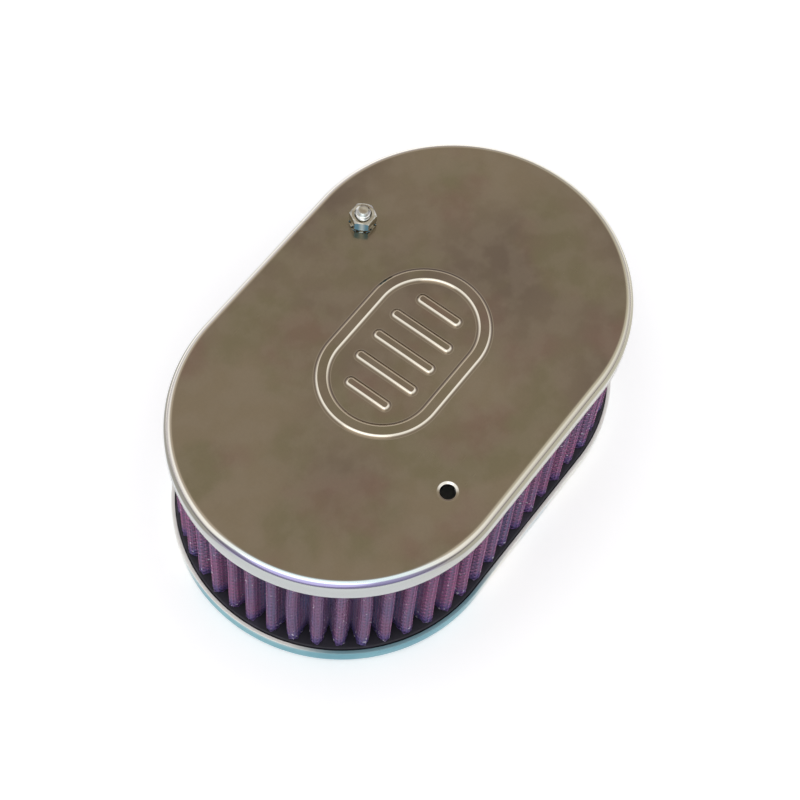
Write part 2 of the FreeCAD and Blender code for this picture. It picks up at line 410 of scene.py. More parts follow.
def rounded_section(corners, radius):
    """A closed section with each corner replaced by a round.

    The round starts and ends the radius away from the corner, and its points lie on the quadratic curve
    with the corner as its middle control.
    """
    corners = np.asarray(corners, float)
    t = np.linspace(0, 1, seal_round_points)[:, None]
    rounds = []
    for k in range(len(corners)):
        before, here, after = corners[k - 1], corners[k], corners[(k + 1) % len(corners)]
        start = here + radius * (before - here) / np.linalg.norm(before - here)
        stop = here + radius * (after - here) / np.linalg.norm(after - here)
        rounds.append((1 - t) ** 2 * start + 2 * t * (1 - t) * here + t**2 * stop)
    return np.vstack(rounds)


def make_seal(name, node, foot, top):
    """A rubber ring from its foot, against the tray, to the face that the pleats are bonded to.

    The section runs the other way round when the foot is below, so that its faces still point outwards.
    """
    low, high = box_mm(node)
    outer = (high[1] - low[1]) / 2
    up = np.sign(top - foot)
    corners = [(seal_bore_radius, foot), (outer - seal_bevel, foot), (outer, foot + up * seal_bevel)]
    corners += [(outer, top), (seal_bore_radius, top)]
    if up > 0:
        corners = corners[::-1]
    grid = carry(rounded_section(corners, seal_edge), oval)
    piece = make_piece(name, [patch(grid, wrap_rows=True)])
    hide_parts(node)
    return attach(piece, "housing")


bottom_seal = make_seal("bottom_end_cap", "bottom_seal", base_sheet, media_low[2])
top_seal = make_seal("top_end_cap", "top_seal", lid_top - lid_sheet, media_high[2])

# %% [markdown]
# The filter pack is cotton gauze between two wire screens, folded into pleats. Each fold has a centre on an
# inner or an outer oval, the valleys inside and the crowns outside. Copies of one pleat could be set round
# the oval, but they would all be alike. Folding isn't that exact, so each centre is a little out of place.

# %% Where the folds lie
pleat_pitch = 8.0
gauze_thickness = 1.4
fold_radius = 0.8
fold_points, flank_points = 9, 3
fold_error = 0.22
wire_room = 0.35
fold_seed = 7
rng = np.random.default_rng(fold_seed)


def fold_centres():
    """Centres and the crown flag of every fold, counter-clockwise: valleys and crowns take turns."""
    on_side = 2 * round(2 * half_straight / pleat_pitch)
    on_end = 2 * round(math.pi * crown_radius / pleat_pitch)
    turn = np.linspace(-math.pi / 2, math.pi / 2, on_end, endpoint=False)
    run = np.linspace(half_straight, -half_straight, on_side, endpoint=False)
    end_out = np.column_stack([np.cos(turn), np.sin(turn)])
    out = np.vstack([end_out, np.tile([0.0, 1.0], (on_side, 1))])
    spine = np.column_stack([np.concatenate([np.full(on_end, half_straight), run]), np.zeros(len(out))])
    out, spine = np.vstack([out, -out]), np.vstack([spine, -spine])
    is_crown = np.arange(len(spine)) % 2 == 1
    inset = gauze_thickness / 2 + fold_radius + wire_room
    ring = np.where(is_crown, crown_radius - inset, valley_radius + inset)
    return spine + ring[:, None] * out + rng.uniform(-fold_error, fold_error, spine.shape), is_crown


# %% [markdown]
# The pack's middle line is a chain of arcs joined by straight flanks that touch both arcs. A flank leans by
# the angle whose sine is the sum of the two radii over the distance between the centres. A wave would be
# simpler, but its flanks are never straight, as folded wire's are.


# %% The pleats' middle line
def turned(vectors, angles):
    """Plane vectors, each turned counter-clockwise by its own angle."""
    c, s = np.cos(angles), np.sin(angles)
    x, y = vectors[:, 0], vectors[:, 1]
    return np.column_stack([c * x - s * y, s * x + c * y])


def pleat_line():
    """The closed middle line of the pack as (points, outward normals, crown share).

    The crown share is 1 on a crown, 0 in a valley and between them on the flanks. Where the line turns
    left round a crown the fold's centre lies on its left, and in a valley on its right.
    """
    centre, is_crown = fold_centres()
    sign = np.where(is_crown, 1.0, -1.0)[:, None]
    across = np.roll(centre, -1, axis=0) - centre
    gap = np.linalg.norm(across, axis=1)
    along = turned(across, sign[:, 0] * np.arcsin(2 * fold_radius / gap)) / gap[:, None]
    right = np.column_stack([along[:, 1], -along[:, 0]])
    leave = np.arctan2(*(right * sign).T[::-1])
    arrive = np.arctan2(*(np.roll(right, 1, axis=0) * sign).T[::-1])
    sweep = sign[:, 0] * ((sign[:, 0] * (leave - arrive)) % (2 * math.pi))
    t = np.linspace(0, 1, fold_points)
    angle = arrive[:, None] + sweep[:, None] * t
    spoke = np.stack([np.cos(angle), np.sin(angle)], axis=2)
    arcs = centre[:, None] + fold_radius * spoke
    f = np.linspace(0, 1, flank_points + 2)[1:-1]
    start, stop = arcs[:, -1:], np.roll(arcs[:, :1], -1, axis=0)
    flanks = start + (stop - start) * f[:, None]
    flank_normals = np.broadcast_to(right[:, None], flanks.shape)
    fold_share = np.broadcast_to(is_crown[:, None].astype(float), (len(centre), fold_points))
    flank_share = np.where(is_crown[:, None], 1 - f, f)
    points = np.concatenate([arcs, flanks], axis=1).reshape(-1, 2)
    normals = np.concatenate([spoke * sign[:, None], flank_normals], axis=1).reshape(-1, 2)
    return points, normals, np.concatenate([fold_share, flank_share], axis=1).ravel()


def distance_along(points):
    """Distance along a closed line at each point, with the whole length as one more value."""
    steps = np.linalg.norm(np.roll(points, -1, axis=0) - points, axis=1)
    return np.concatenate([[0], np.cumsum(steps)])


line, line_normals, crown_share = pleat_line()
line_length = distance_along(line)
print(f"folded pack: {len(line)} points, {line_length[-1]:.0f} mm long when flat")

# %% [markdown]
# Between the end caps the pleats are free to lean. The sway is a sum of slow waves along the pack. It dies
# out at both caps and moves the crowns only, because the inner folds are the stiff ones. A simulation could
# bend them too, but waves are quick and the same in every run.

# %% The pleats' sway
sway = 0.3
wave_counts, wave_lean = (9, 14, 23, 31, 47), 0.06
sway_waves = [
    (turns, rng.uniform(0, 2 * math.pi), rng.uniform(-wave_lean, wave_lean)) for turns in wave_counts
]


def swayed(points, share, along, heights):
    """A grid of points, heights by stations, with the crowns leaning round the oval.

    Shift = sway * crown share * sine arch from cap to cap * the mean of the waves, along the oval.
    """
    near = np.clip(points[:, 0], -half_straight, half_straight)
    radial = points - np.column_stack([near, 0 * near])
    radial /= np.linalg.norm(radial, axis=1)[:, None]
    tangent = np.column_stack([-radial[:, 1], radial[:, 0]])
    heights = np.asarray(heights, float)[:, None]
    arch = np.sin(math.pi * (heights - media_low[2]) / (media_high[2] - media_low[2]))
    waves = [np.sin(2 * math.pi * n * along / line_length[-1] + p + q * heights) for n, p, q in sway_waves]
    shift = sway * share * arch * np.mean(waves, axis=0) * math.sqrt(len(waves))
    flat = points[None] + shift[..., None] * tangent[None]
    tall = np.broadcast_to(heights[..., None], flat.shape[:2] + (1,))
    return np.concatenate([flat, tall], axis=2)


print("sway: the sum of", len(sway_waves), "waves")

# %% [markdown]
# The gauze is the pack's thick middle layer. Its skin goes up the outside, over the edge and down the inside,
# so it is closed without any cap. It stores where each point lies along the pack and how near it is to a
# crown, because its weave and its dye follow the folds and not the space round them.

# %% The gauze
gauze_rows = 13


def add_uv(piece, u, v):
    """A UV map from one (u, v) pair per mesh point, in millimetres along and up the pack."""
    mesh = piece.data
    layer = mesh.uv_layers.new(name="pack")
    corner_points = np.zeros(len(mesh.loops), int)
    mesh.loops.foreach_get("vertex_index", corner_points)
    pairs = np.column_stack([u, v])[corner_points]
    layer.data.foreach_set("uv", pairs.astype(np.float32).ravel())


def add_value(piece, name, values):
    """Stores one number for each mesh point, for the materials."""
    layer = piece.data.attributes.new(name, "FLOAT", "POINT")
    layer.data.foreach_set("value", values.astype(np.float32).ravel())


def make_gauze():
    """The outer skin from foot to top, over the edge, and the inner skin back down."""
    heights = np.linspace(media_low[2], media_high[2], gauze_rows)
    along = line_length[:-1]
    half = gauze_thickness / 2
    outer = swayed(line + half * line_normals, crown_share, along, heights)
    inner = swayed(line - half * line_normals, crown_share, along, heights[::-1])
    grid = np.concatenate([inner, outer])[::-1]
    piece = make_piece("cotton_pleats", [patch(grid, wrap_rows=True)])
    spread = np.broadcast_to(np.stack([along, crown_share]), (len(grid), 2, len(along)))
    add_uv(piece, spread[:, 0].ravel(), grid[..., 2].ravel())
    add_value(piece, "crown", spread[:, 1])
    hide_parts("pleated_media")
    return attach(piece, "housing")


gauze = make_gauze()

# %% [markdown]
# A wire screen lies on each side of the gauze and is folded with it. Up-and-down wires and round-going
# wires cross at every mesh, and take turns to lie on top, so each wire is a zigzag with one point at each
# crossing. An image could fake them, but it would look flat at the pleats' edges. Three sides are enough
# for a wire a third of a millimetre thick, and they keep the screens light.

# %% Where the wires cross
outer_mesh, inner_mesh = 1.45, 2.6
wire_radius, upright_radius = 0.17, 0.12
weave_lift = 0.19
wire_turns = np.radians([90, 210, 330])
upwards = np.array([0.0, 0.0, 1.0])


def crossings(offset, pitch):
    """Points, normals, crown share and pack distance at even spacing on the skin at an offset."""
    edge = line + offset * line_normals
    length = distance_along(edge)
    count = 2 * round(length[-1] / pitch / 2)
    at = np.linspace(0, length[-1], count, endpoint=False)
    columns = np.column_stack([edge, line_normals, crown_share])
    columns = np.vstack([columns, columns[:1]])
    even = np.column_stack([np.interp(at, length, column) for column in columns.T])
    normals = even[:, 2:4] / np.linalg.norm(even[:, 2:4], axis=1)[:, None]
    return even[:, :2], normals, even[:, 4], np.interp(at, length, line_length)


def woven(grid, normals):
    """Corners of the upright and the level wires at every crossing, and which of the two lies over.

    Over is 1 and -1 in a chessboard. A corner of an upright wire = crossing + over * lift outward +
    radius (cos tangent + sin outward), and of a level wire = crossing - over * lift outward + radius
    (sin outward + cos up), at three turns.
    """
    out = np.column_stack([normals, np.zeros(len(normals))])[None, :, None]
    tangent = np.cross(upwards, out)
    over = (-1.0) ** np.add.outer(np.arange(len(grid)), np.arange(len(normals)))
    lift = (weave_lift * over)[..., None, None] * out
    c, s = np.cos(wire_turns)[:, None], np.sin(wire_turns)[:, None]
    upright = grid[:, :, None] + lift + upright_radius * (c * tangent + s * out)
    level = grid[:, :, None] - lift + wire_radius * (s * out + c * upwards)
    return upright, level, over


# %% [markdown]
# One numbering of the points serves both kinds of wire: an upright wire joins a point to the one above it,
# and a level wire to the next one round. Two pieces a screen, not one a wire, keep the scene easy to handle.


# %% The wire screens
def wire_faces(shape):
    """Faces of the upright wires, with both ends closed, and of the level wires, which have no ends.

    The points are numbered in a grid of heights by stations by corners, and both kinds share it.
    """
    number = np.arange(math.prod(shape)).reshape(shape)
    turn = np.roll(number, -1, axis=2)
    upright = [number[1:], turn[1:], turn[:-1], number[:-1]]
    level = [np.roll(turn, -1, axis=1), np.roll(number, -1, axis=1), number, turn]
    upright_sides, level_sides = (
        np.stack([corner.ravel() for corner in corners], axis=1).tolist() for corners in (upright, level)
    )
    ends = number[0].tolist() + number[-1, :, ::-1].tolist()
    return upright_sides + ends, level_sides


def make_screen(name, side, pitch):
    """One folded screen, outside (side 1) or inside (side -1) the gauze, as two pieces of wires."""
    points, normals, share, along = crossings(side * (gauze_thickness / 2 + wire_radius), pitch)
    rows = round((media_high[2] - media_low[2]) / pitch)
    heights = np.linspace(media_low[2], media_high[2], rows + 1)
    upright, level, over = woven(swayed(points, share, along, heights), normals)
    upright_faces, level_faces = wire_faces(upright.shape[:3])
    made = []
    strands = (("upright", upright, upright_faces, over), ("level", level, level_faces, -over))
    for title, wires, faces, on_top in strands:
        piece = make_piece(f"{name}_{title}_wires", [(wires.reshape(-1, 3), faces)])
        add_value(piece, "crown", np.broadcast_to(share[None, :, None], wires.shape[:3]))
        add_value(piece, "on_top", np.broadcast_to(on_top[..., None], wires.shape[:3]))
        made.append(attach(piece, "housing"))
    return made


screens = make_screen("outer_screen", 1, outer_mesh) + make_screen("inner_screen", -1, inner_mesh)

# %% [markdown]
# The stud is rolled thread at both ends with a plain shank between them. Its surface is a distance from the
# axis for each angle and height: the thread's phase is the height in pitches less the share of a turn, and
# the profile is a triangle wave with its tips and roots cut flat. The Screw modifier makes a thread too, but
# its ends would have to be cut to a chamfer afterwards.

# %% The stud
thread_pitch, thread_depth = 0.8, 0.45
thread_columns, thread_rows = 32, 8
profile_stretch, profile_cut = 1.45, 0.2
top_thread, foot_thread = 15.0, 9.0
stud_chamfer = 0.9
thread_radius = (stud_high[0] - stud_low[0]) / 2
pole_merge = 0.001


def about_stud(radius, angle, height):
    """Points at a radius and an angle about the stud's axis and at a height, for arrays that fit together."""
    parts = stud_place[0] + radius * np.cos(angle), stud_place[1] + radius * np.sin(angle), height
    return np.stack(np.broadcast_arrays(*parts), axis=-1)


def thread_profile(phase):
    """Depth below the tip, 0 to 1: a triangle wave stretched past both ends and clipped."""
    wave = np.abs(2 * (phase % 1) - 1)
    return np.clip(profile_stretch * wave - profile_cut, 0, 1)


def make_stud():
    """Radius = the smaller of the thread's radius less its depth there and the chamfer's cone."""
    low, high = stud_low[2], stud_high[2]
    step = thread_pitch / thread_rows
    foot = np.arange(low, low + foot_thread, step)
    head = np.arange(high, high - top_thread, -step)[::-1]
    heights = np.concatenate([foot, head])[:, None]
    angle = np.linspace(0, 2 * math.pi, thread_columns, endpoint=False)
    depth = thread_depth * thread_profile(heights / thread_pitch - angle / (2 * math.pi))
    to_end = np.minimum(heights - low, high - heights)
    tip = thread_radius - np.maximum(stud_chamfer - to_end, 0)
    grid = about_stud(np.minimum(thread_radius - depth, tip), angle, heights)[::-1]
    ends = [(grid[0], [range(thread_columns)]), (grid[-1], [range(thread_columns)[::-1]])]
    piece = make_piece("threaded_stud", [patch(grid)] + ends, merge=pole_merge)
    finish_modifiers(piece, sharp_angle=50)
    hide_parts("stud")
    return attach(piece, "housing")


stud = make_stud()

# %% [markdown]
# A hexagon nut is turned bar: its sides are flat, and a cone cuts its corners at both faces. For each angle
# the side's distance is the half width over the cosine of the angle from the side's middle, and the cone's
# edge drops by the distance past the face's ring times the cone's slope. A cylinder with six sides has no
# cone, and it is the cone that makes a nut look like one.

# %% The lock nut
nut_low, nut_high = box_mm("lock_nut")
nut_columns = 72
nut_bevel = 0.4
face_share = 0.94
cone_slope = math.tan(math.radians(30))
nut_bore = thread_radius + 0.05


def make_nut():
    """Rows from the bore over the top face and down the sides, and the same rows upside down."""
    width, depth, _ = nut_high - nut_low
    half_flats = min(width, depth) / 2
    bottom, top = nut_low[2], nut_high[2]
    angle = np.linspace(0, 2 * math.pi, nut_columns, endpoint=False)
    sixth = math.pi / 3
    first_side = 0 if width > depth else sixth / 2
    from_side = (angle + first_side) % sixth - sixth / 2
    side = half_flats / np.cos(from_side)
    face = half_flats * face_share
    drop = (side - face) * cone_slope
    upper = [(nut_bore, top - nut_bevel), (nut_bore + nut_bevel, top), (face, top), (side, top - drop)]
    lower = [(radius, bottom + top - height) for radius, height in reversed(upper)]
    rows = [about_stud(radius, angle, height) for radius, height in upper + lower]
    piece = make_piece("hexagon_lock_nut", [patch(np.stack(rows), wrap_rows=True)])
    finish_modifiers(piece, sharp_angle=25)
    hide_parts("lock_nut")
    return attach(piece, "nut")


nut = make_nut()

# %% [markdown]
# Under the nut lies a toothed lock washer. Each tooth is twisted, so that one corner bites the nut and the
# other the lid. The ring is a carried section, and the teeth are twelve copies of one twisted block, all
# worked out in one array.

# %% The lock washer
washer_low, washer_high = box_mm("lock_washer")
washer_sheet = 0.36
washer_clearance, tooth_length = 0.3, 0.9
tooth_count = 12
tooth_half_angle = math.radians(9.5)
tooth_root, tooth_tip_gap = 0.1, 0.05
block_corners = 8
block_faces = np.array([(0, 1, 3, 2), (4, 6, 7, 5), (0, 4, 5, 1), (2, 3, 7, 6), (1, 5, 7, 3), (0, 2, 6, 4)])


def twisted_teeth(inner, outer, middle, twist):
    """Corners of every tooth: two radii, two sides and two faces, tilted by the side at the outer radius."""
    at = np.arange(tooth_count) * 2 * math.pi / tooth_count
    radius = np.array([inner, outer])[None, :, None, None]
    side = np.array([-1, 1])[None, None, :, None]
    face = np.array([-1, 1])[None, None, None, :] * washer_sheet / 2
    angle = at[:, None, None, None] + side * tooth_half_angle
    lift = twist * side * np.array([0, 1])[None, :, None, None]
    points = about_stud(radius, angle, middle + lift + face).reshape(-1, 3)
    faces = (np.arange(tooth_count)[:, None, None] * block_corners + block_faces).reshape(-1, 4)
    return points, faces


def make_washer():
    """A flat ring as a carried section, and the teeth round it."""
    bore = thread_radius + washer_clearance
    outer = (washer_high[0] - washer_low[0]) / 2
    root = outer - tooth_length
    middle = (washer_low[2] + washer_high[2]) / 2
    half = washer_sheet / 2
    section = [(bore, middle - half), (root, middle - half), (root, middle + half), (bore, middle + half)]
    ring = carry(section, stations(0, 0, per_quarter["washer"]), stud_place)
    twist = (washer_high[2] - washer_low[2]) / 2 - half
    teeth = twisted_teeth(root - tooth_root, outer - tooth_tip_gap, middle, twist)
    piece = make_piece("toothed_washer", [patch(ring[::-1], wrap_rows=True), teeth])
    finish_modifiers(piece, sharp_angle=30)
    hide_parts("lock_washer")
    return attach(piece, "washer")


washer = make_washer()

# %% [markdown]
# A shader tree is easier to read as sums and mixes than as nodes, so each helper adds one node and returns
# its output. Colours are written as they look, 0 to 255, and turned to the linear values that shaders use.


# %% Colours and sums
def colour(red, green, blue):
    """A linear colour with alpha from a display colour: the sRGB curve, undone."""
    c = np.array([red, green, blue]) / 255
    linear = np.where(c <= 0.04045, c / 12.92, ((c + 0.055) / 1.055) ** 2.4)
    return (*linear.tolist(), 1.0)


def feed(tree, target, value):
    """Links a socket to an input, or sets the input to a plain value."""
    if isinstance(value, bpy.types.NodeSocket):
        tree.links.new(value, target)
    else:
        target.default_value = value


def math_node(tree, operation, a, b):
    """A Math node fed by numbers or sockets, returning its output."""
    made = tree.nodes.new("ShaderNodeMath")
    made.operation = operation
    feed(tree, made.inputs[0], a)
    feed(tree, made.inputs[1], b)
    return made.outputs[0]


def times(tree, a, b):
    """The product of two numbers or sockets."""
    return math_node(tree, "MULTIPLY", a, b)


def less(tree, a, b):
    """The first number or socket less the second."""
    return math_node(tree, "SUBTRACT", a, b)


# %% [markdown]
# Most of a finish is mixing: one tone over another by a mask. The masks come from smooth ranges and the
# bands of tones from ramps.


# %% Mixes, ranges and ramps
def mix_colour(tree, factor, a, b):
    """A colour mix fed by colours or sockets, returning its output."""
    made = tree.nodes.new("ShaderNodeMix")
    made.data_type = "RGBA"
    for name, value in (("Factor_Float", factor), ("A_Color", a), ("B_Color", b)):
        feed(tree, next(s for s in made.inputs if s.identifier == name), value)
    return next(s for s in made.outputs if s.identifier == "Result_Color")


def map_range(tree, value, low, high, to_low=0.0, to_high=1.0):
    """Maps a socket's value smoothly from one range to another, returning the output."""
    made = tree.nodes.new("ShaderNodeMapRange")
    made.interpolation_type = "SMOOTHSTEP"
    tree.links.new(value, made.inputs["Value"])
    for name, number in (("From Min", low), ("From Max", high), ("To Min", to_low), ("To Max", to_high)):
        made.inputs[name].default_value = number
    return made.outputs["Result"]


def ramp(tree, value, stops):
    """A smooth colour ramp on a socket: stops are (position, colour) pairs."""
    made = tree.nodes.new("ShaderNodeValToRGB")
    scale = made.color_ramp
    scale.interpolation = "EASE"
    given = len(scale.elements)
    for k, (place, tone) in enumerate(stops):
        stop = scale.elements[k] if k < given else scale.elements.new(place)
        stop.position = place
        stop.color = tone
    tree.links.new(value, made.inputs["Fac"])
    return made.outputs["Color"]


def new_material(name):
    """A material with only a Principled BSDF, returned with its tree and shader."""
    material = bpy.data.materials.new(name)
    material.use_nodes = True
    tree = material.node_tree
    shader = next(n for n in tree.nodes if n.type == "BSDF_PRINCIPLED")
    return material, tree, shader


def dress(piece, material):
    """Gives a piece its one material."""
    piece.data.materials.clear()
    piece.data.materials.append(material)
    print(f"{piece.name} wears {material.name}")


# %% [markdown]
# Every finish here varies from place to place, and noise is the plainest source of that. A cloud pattern is
# noise of a given scale, in cycles per metre, and detail, plain or fine, that fades in between two levels.
# Stretching the coordinates first turns clouds into streaks. Front, right and left are directions on the
# object itself, whatever looks at it.

# %% Patterns and directions
Clouds = namedtuple("Clouds", "scale detail low high stretch", defaults=[None])
front, right, left = (-0.85, -0.53), (0.53, -0.85), (-0.53, 0.85)
front_end = (0.066, 0.080)
plain, fine = 2, 3


def noise(tree, coordinates, scale, detail, stretch=None):
    """Noise of a given scale in cycles per metre on the coordinates, stretched if asked."""
    if stretch:
        mapping = tree.nodes.new("ShaderNodeMapping")
        mapping.inputs["Scale"].default_value = stretch
        tree.links.new(coordinates, mapping.inputs["Vector"])
        coordinates = mapping.outputs["Vector"]
    made = tree.nodes.new("ShaderNodeTexNoise")
    made.inputs["Scale"].default_value = scale
    made.inputs["Detail"].default_value = detail
    tree.links.new(coordinates, made.inputs["Vector"])
    return made.outputs["Fac"]


def cloud_mask(tree, position, clouds):
    """A cloud pattern as a mask: noise, mapped so that low becomes 0 and high becomes 1."""
    raw = noise(tree, position, clouds.scale, clouds.detail, clouds.stretch)
    return map_range(tree, raw, clouds.low, clouds.high)


def object_parts(tree):
    """Object coordinates and their three parts."""
    position = tree.nodes.new("ShaderNodeTexCoord").outputs["Object"]
    split = tree.nodes.new("ShaderNodeSeparateXYZ")
    tree.links.new(position, split.inputs[0])
    return position, split.outputs["X"], split.outputs["Y"], split.outputs["Z"]


def stored_value(tree, name):
    """The number that a mesh stores for each of its points under a name."""
    made = tree.nodes.new("ShaderNodeAttribute")
    made.attribute_name = name
    return made.outputs["Fac"]


def facing(tree, direction):
    """How far the surface faces a direction: the dot product of its normal with it, from -1 to 1."""
    made = tree.nodes.new("ShaderNodeVectorMath")
    made.operation = "DOT_PRODUCT"
    tree.links.new(tree.nodes.new("ShaderNodeNewGeometry").outputs["Normal"], made.inputs[0])
    made.inputs[1].default_value = direction
    return made.outputs["Value"]


def surface_level(tree):
    """How level the surface is: 1 on a flat top and 0 on an upright wall."""
    return facing(tree, (0, 0, 1))


def reach_towards(tree, x, y, direction, low, high):
    """How far a point lies in a direction from the middle: 0 up to low and 1 from high on, in metres."""
    parts = [times(tree, axis, part) for axis, part in zip((x, y), direction)]
    return map_range(tree, math_node(tree, "ADD", *parts), low, high)


def add_bump(tree, shader, height, distance, strength):
    """Feeds a height, through a bump of a depth in millimetres, to a shader's normal."""
    bumped = tree.nodes.new("ShaderNodeBump")
    bumped.inputs["Strength"].default_value = strength
    bumped.inputs["Distance"].default_value = distance * MM
    tree.links.new(height, bumped.inputs["Height"])
    tree.links.new(bumped.outputs["Normal"], shader.inputs["Normal"])


# %% [markdown]
# Handled metal is never even: fingers leave greasy clouds that spread its gloss, and wiping leaves fine
# scratches in two directions. One group gives both to every metal here, each with its own amounts. Without
# a group, the same nodes would be repeated in three materials.

# %% Handled metal
finger_clouds = Clouds(28, 4, 0.42, 0.66)
wiped_along = Clouds(260, 3, 0.68, 0.74, (0.35, 9.0, 1.0))
wiped_across = Clouds(260, 3, 0.70, 0.76, (8.0, 0.5, 1.0))
grain_scale, grain_height, scratch_roughness = 900, 0.15, 0.2
metal_bump_depth = 0.02


def new_group(name, inputs, outputs):
    """A shader node group with named vector or number sockets, returned with its input and output nodes."""
    group = bpy.data.node_groups.new(name, "ShaderNodeTree")
    for title in inputs:
        kind = "NodeSocketVector" if title == "Position" else "NodeSocketFloat"
        group.interface.new_socket(title, in_out="INPUT", socket_type=kind)
    for title in outputs:
        group.interface.new_socket(title, in_out="OUTPUT", socket_type="NodeSocketFloat")
    return group, group.nodes.new("NodeGroupInput"), group.nodes.new("NodeGroupOutput")


def build_handled_metal():
    """Roughness = gloss + clouds * smudge + a share of the scratches, and height = grain less scratches."""
    inputs, outputs = ("Position", "Gloss", "Smudge", "Scratch"), ("Roughness", "Height")
    group, given, result = new_group("handled_metal", inputs, outputs)
    position = given.outputs["Position"]
    grain = times(group, noise(group, position, grain_scale, plain), grain_height)
    wipes = [cloud_mask(group, position, clouds) for clouds in (wiped_along, wiped_across)]
    scratched = times(group, math_node(group, "MAXIMUM", *wipes), given.outputs["Scratch"])
    rough = times(group, cloud_mask(group, position, finger_clouds), given.outputs["Smudge"])
    rough = math_node(group, "ADD", rough, given.outputs["Gloss"])
    rough = math_node(group, "ADD", rough, times(group, scratched, scratch_roughness))
    group.links.new(rough, result.inputs["Roughness"])
    group.links.new(less(group, grain, scratched), result.inputs["Height"])
    return group


handled_metal = build_handled_metal()


def add_metal(tree, shader, position, gloss, smudge, scratch, bump):
    """Handled metal on a shader: roughness, bump and full metallic."""
    handled = tree.nodes.new("ShaderNodeGroup")
    handled.node_tree = handled_metal
    for name, value in (("Position", position), ("Gloss", gloss), ("Smudge", smudge), ("Scratch", scratch)):
        feed(tree, handled.inputs[name], value)
    tree.links.new(handled.outputs["Roughness"], shader.inputs["Roughness"])
    add_bump(tree, shader, handled.outputs["Height"], metal_bump_depth, bump)
    shader.inputs["Metallic"].default_value = 1.0


print("handled_metal:", len(handled_metal.nodes), "nodes")

# %% [markdown]
# The lid is bright plating. Its flat top is painted a warm mottled brown, a painted reflection of a brown
# room, and wherever the sheet turns away it is painted in bands of white, grey and silver: a painted
# highlight and painted reflections of the walls and the floor. A plain mirror would show whatever room it
# stands in. Here these reflections are painted into the plating's colour, so it looks much the same in any
# scene: the mask comes from how level the surface is, and the bands from the same value through a colour
# ramp, one for the sides and one for the front end.

# %% The lid's tones
lid_broad = Clouds(9, 2, 0.40, 0.60)
# The flat top's brown and its clouds are a painted reflection of a brown room.
reflected_room_brown, reflected_room_dark_brown = colour(134, 119, 97), colour(112, 97, 83)
lid_layers = (
    (Clouds(30, 4, 0.44, 0.60), 0.8, colour(122, 112, 86)),
    (Clouds(34, 3, 0.50, 0.68), 0.6, colour(128, 101, 89)),
    (Clouds(110, 5, 0.40, 0.62), 0.3, colour(142, 128, 110)),
)
speckle_scale, speckle_strength, speckle_tone = 1300, 0.25, colour(98, 88, 76)

# Rim bands by level: a silver painted reflection of the floor on the flange, a grey or lilac painted
# reflection of the walls, a white painted highlight, then a tone that fades into the top's brown.
rim_stops = (0.0, 0.10, 0.25, 0.62, 0.77, 0.89, 0.96)
side_floor_reflection, side_wall_reflection = colour(178, 181, 178), colour(139, 136, 127)
side_highlight, side_edge = colour(255, 250, 238), colour(176, 162, 142)
end_floor_reflection, end_wall_reflection = colour(184, 188, 187), colour(158, 152, 190)
end_highlight, end_edge = colour(236, 252, 255), colour(150, 158, 158)
side_tones = (side_floor_reflection, side_floor_reflection, side_wall_reflection, side_wall_reflection, side_highlight, side_highlight, side_edge)
end_tones = (end_floor_reflection, end_floor_reflection, end_wall_reflection, end_wall_reflection, end_highlight, end_highlight, end_edge)
front_band_shift = 1.03
cream_reach, cream_strength, cream_tone = (0.0, 0.05), 0.5, colour(196, 190, 164)


def lid_top_reflection(tree, position):
    """The painted reflection of a brown room: brown with clouds of three more browns laid over it, and a fine
    speckle.
    """
    tone = mix_colour(tree, cloud_mask(tree, position, lid_broad), reflected_room_brown, reflected_room_dark_brown)
    for clouds, strength, layer_tone in lid_layers:
        tone = mix_colour(tree, times(tree, cloud_mask(tree, position, clouds), strength), tone, layer_tone)
    speckle = times(tree, noise(tree, position, speckle_scale, fine), speckle_strength)
    return mix_colour(tree, speckle, tone, speckle_tone)


def painted_rim_reflections(tree, x, y, level):
    """Painted bands round the rim: a painted highlight, and painted reflections of the walls and the floor,
    tinted cream on the right side. At the front end the level is first lowered by its distance from just over
    1.
    """
    ahead = reach_towards(tree, x, y, front, *front_end)
    bend = less(tree, level, times(tree, ahead, less(tree, front_band_shift, level)))
    bands = [ramp(tree, bend, list(zip(rim_stops, tones))) for tones in (side_tones, end_tones)]
    tone = mix_colour(tree, ahead, *bands)
    on_right = reach_towards(tree, x, y, right, *cream_reach)
    return mix_colour(tree, times(tree, on_right, cream_strength), tone, cream_tone)


# %% [markdown]
# The pressing's flanks and the dimples' lips catch the light on the side that faces the front. Geometry
# alone would show it only where a lamp happens to stand, so it is painted in too: a painted highlight near
# the crests and on the lips that face the front, and painted shade on the far sides and at the flanks' feet.

# %% The lid's finish
# Painted highlight near the crest and on the lips facing the front, painted shade on the far sides and at the
# flanks' feet.
crest_heights, raised_heights = (0.3, 0.65), (0.0, 0.06)
crest_lit, lip_lit = (-0.25, 0.2), (-0.1, 0.3)
crest_shade, crest_light = colour(206, 190, 164), colour(246, 238, 222)
shaded_flank_foot = colour(128, 114, 96)
lip_shade, lip_light = colour(150, 136, 114), colour(250, 245, 234)
lip_fade = 0.5
flat_levels = (0.965, 0.9985)


def above_lid(tree, height, heights):
    """0 to 1 between two heights above the lid's top, in millimetres."""
    return map_range(tree, height, *((lid_top + part) * MM for part in heights))


def near_a_hole(tree, position):
    """1 on the dimple of either stud hole and 0 everywhere else."""
    reach = hole_radius + dimple_width + ledge
    gaps = []
    for place in (stud_place, open_place):
        made = tree.nodes.new("ShaderNodeVectorMath")
        made.operation = "DISTANCE"
        tree.links.new(position, made.inputs[0])
        made.inputs[1].default_value = (place[0] * MM, place[1] * MM, lid_top * MM)
        gaps.append(made.outputs["Value"])
    nearest = math_node(tree, "MINIMUM", *gaps)
    return map_range(tree, nearest, reach * MM, (reach + lip_fade) * MM, 1.0, 0.0)


